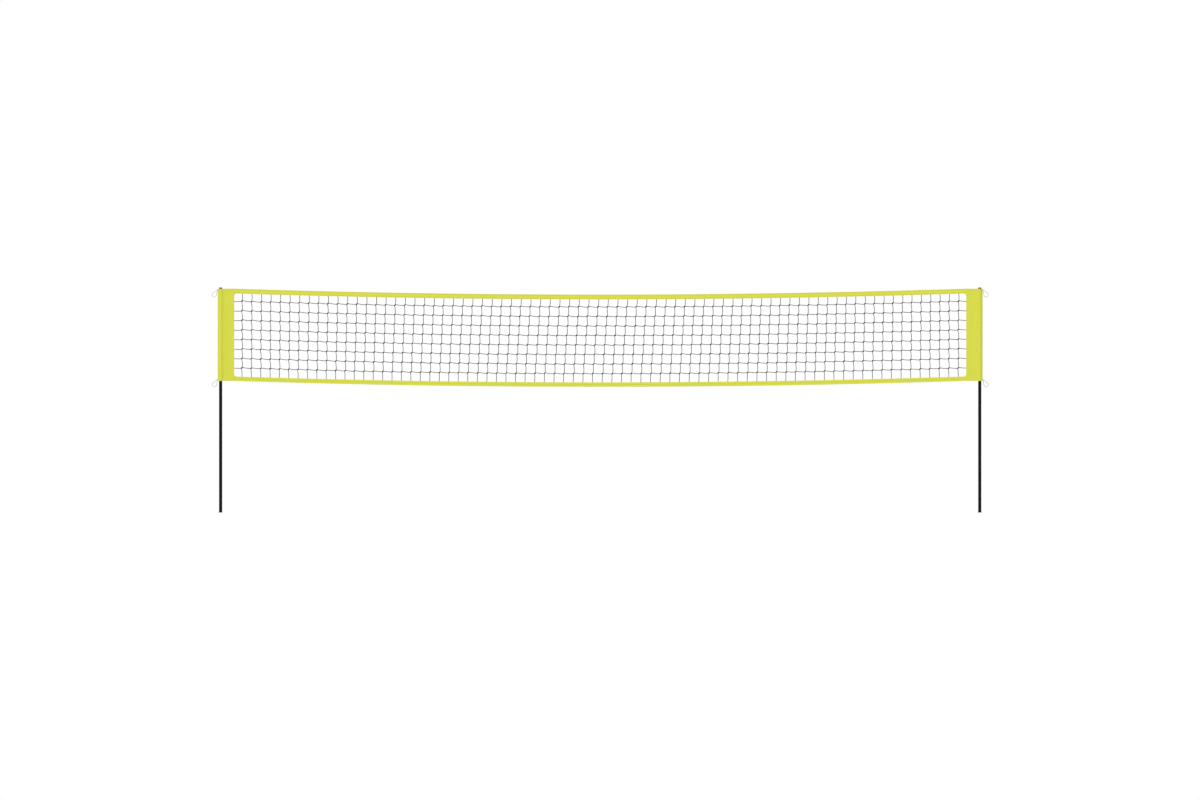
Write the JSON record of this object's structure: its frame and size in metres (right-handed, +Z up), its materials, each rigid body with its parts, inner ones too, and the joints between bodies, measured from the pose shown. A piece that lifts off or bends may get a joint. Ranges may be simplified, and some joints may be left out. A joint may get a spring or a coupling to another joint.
{
  "type": "volleyball net on poles",
  "caption": "Knotted volleyball net with yellow tapes and post sleeves, hung between sectional black steel posts; it slides up and down the posts.",
  "frame": {"origin": "on the ground, midway between the two posts", "axes": "+Z up along the posts, +X along the net from the left post to the right one as seen from the front, +Y away from that viewer"},
  "size_m": [8.4208, 0.0416, 2.44],
  "materials": {
    "post_enamel": "black powder coat, satin",
    "moulded_plastic": "black moulded polyethylene",
    "tape_cloth": "lemon yellow woven tape, sewn",
    "net_twine": "black braided twine, knotted",
    "white_cord": "white braided cord"
  },
  "bodies": {
    "lower_posts": {"left_foot": "moulded_plastic", "left_post_section_1": "post_enamel", "right_foot": "moulded_plastic", "right_post_section_1": "post_enamel"},
    "left_post_2": {"left_post_section_2": "post_enamel"},
    "left_post_3": {"left_post_section_3": "post_enamel"},
    "left_post_4": {"left_post_section_4": "post_enamel", "left_post_cap": "moulded_plastic"},
    "right_post_2": {"right_post_section_2": "post_enamel"},
    "right_post_3": {"right_post_section_3": "post_enamel"},
    "right_post_4": {"right_post_section_4": "post_enamel", "right_post_cap": "moulded_plastic"},
    "net": {"net_mesh": "net_twine", "top_tape": "tape_cloth", "bottom_tape": "tape_cloth", "head_rope": "white_cord", "foot_rope": "white_cord", "left_sleeve": "tape_cloth", "right_sleeve": "tape_cloth"},
    "left_upper_loop_swing": {"left_upper_loop": "white_cord"},
    "left_lower_loop_swing": {"left_lower_loop": "white_cord"},
    "right_upper_loop_swing": {"right_upper_loop": "white_cord"},
    "right_lower_loop_swing": {"right_lower_loop": "white_cord"}
  },
  "joints": [
    {"name": "net_height", "type": "slide", "parent": "lower_posts", "child": "net", "axis": [0, 0, 1], "range_m": [-1.34, 1.03]},
    {"name": "left_section_2_pull", "type": "slide", "parent": "lower_posts", "child": "left_post_2", "axis": [0, 0, 1], "range_m": [0, 0.062]},
    {"name": "left_section_3_pull", "type": "slide", "parent": "left_post_2", "child": "left_post_3", "axis": [0, 0, 1], "range_m": [0, 0.062]},
    {"name": "left_section_4_pull", "type": "slide", "parent": "left_post_3", "child": "left_post_4", "axis": [0, 0, 1], "range_m": [0, 0.062]},
    {"name": "right_section_2_pull", "type": "slide", "parent": "lower_posts", "child": "right_post_2", "axis": [0, 0, 1], "range_m": [0, 0.062]},
    {"name": "right_section_3_pull", "type": "slide", "parent": "right_post_2", "child": "right_post_3", "axis": [0, 0, 1], "range_m": [0, 0.062]},
    {"name": "right_section_4_pull", "type": "slide", "parent": "right_post_3", "child": "right_post_4", "axis": [0, 0, 1], "range_m": [0, 0.062]},
    {"name": "left_upper_loop_flap", "type": "hinge", "parent": "net", "child": "left_upper_loop_swing", "pos_m": [-4.15, 0, 2.414], "axis": [0, 0, 1], "range_deg": [-80, 80]},
    {"name": "left_lower_loop_flap", "type": "hinge", "parent": "net", "child": "left_lower_loop_swing", "pos_m": [-4.15, 0, 1.44], "axis": [0, 0, 1], "range_deg": [-80, 80]},
    {"name": "right_upper_loop_flap", "type": "hinge", "parent": "net", "child": "right_upper_loop_swing", "pos_m": [4.15, 0, 2.414], "axis": [0, 0, 1], "range_deg": [-80, 80]},
    {"name": "right_lower_loop_flap", "type": "hinge", "parent": "net", "child": "right_lower_loop_swing", "pos_m": [4.15, 0, 1.44], "axis": [0, 0, 1], "range_deg": [-80, 80]}
  ]
}
